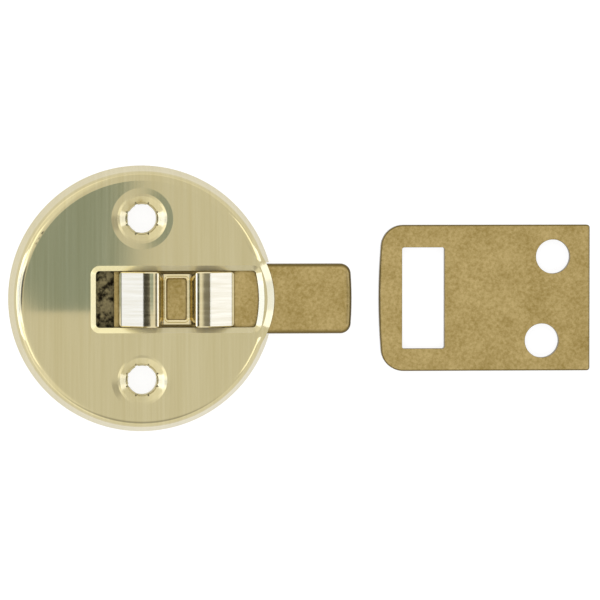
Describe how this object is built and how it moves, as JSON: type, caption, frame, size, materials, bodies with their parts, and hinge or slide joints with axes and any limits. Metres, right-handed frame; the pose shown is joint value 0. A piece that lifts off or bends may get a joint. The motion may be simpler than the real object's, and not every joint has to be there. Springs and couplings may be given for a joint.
{
  "type": "surface bolt",
  "caption": "Round surface bolt: a thumb grip in a slotted cover slides a flat bar out through the rim, towards a flat strike plate with a rectangular hole.",
  "frame": {"origin": "centre of the round cover, on its mounting face", "axes": "+X is the way the bolt is thrown, +Z points out of the door and +Y is across the bolt"},
  "size_m": [0.0833, 0.038, 0.0058],
  "materials": {
    "satin_brass": "brushed, clear lacquered",
    "polished_brass": "polished",
    "tumbled_brass": "tumbled, dull",
    "phosphated_steel": "phosphated and oiled",
    "spring_steel": "tempered"
  },
  "bodies": {
    "housing": {"cover": "satin_brass", "back_plate": "phosphated_steel", "friction_spring": "spring_steel", "strike_plate": "tumbled_brass"},
    "slider": {"bolt": "tumbled_brass", "thumb_grip": "polished_brass"}
  },
  "joints": [
    {"name": "bolt_slide", "type": "slide", "parent": "housing", "child": "slider", "axis": [1, 0, 0], "range_m": [-0.0031, 0.0029]}
  ]
}
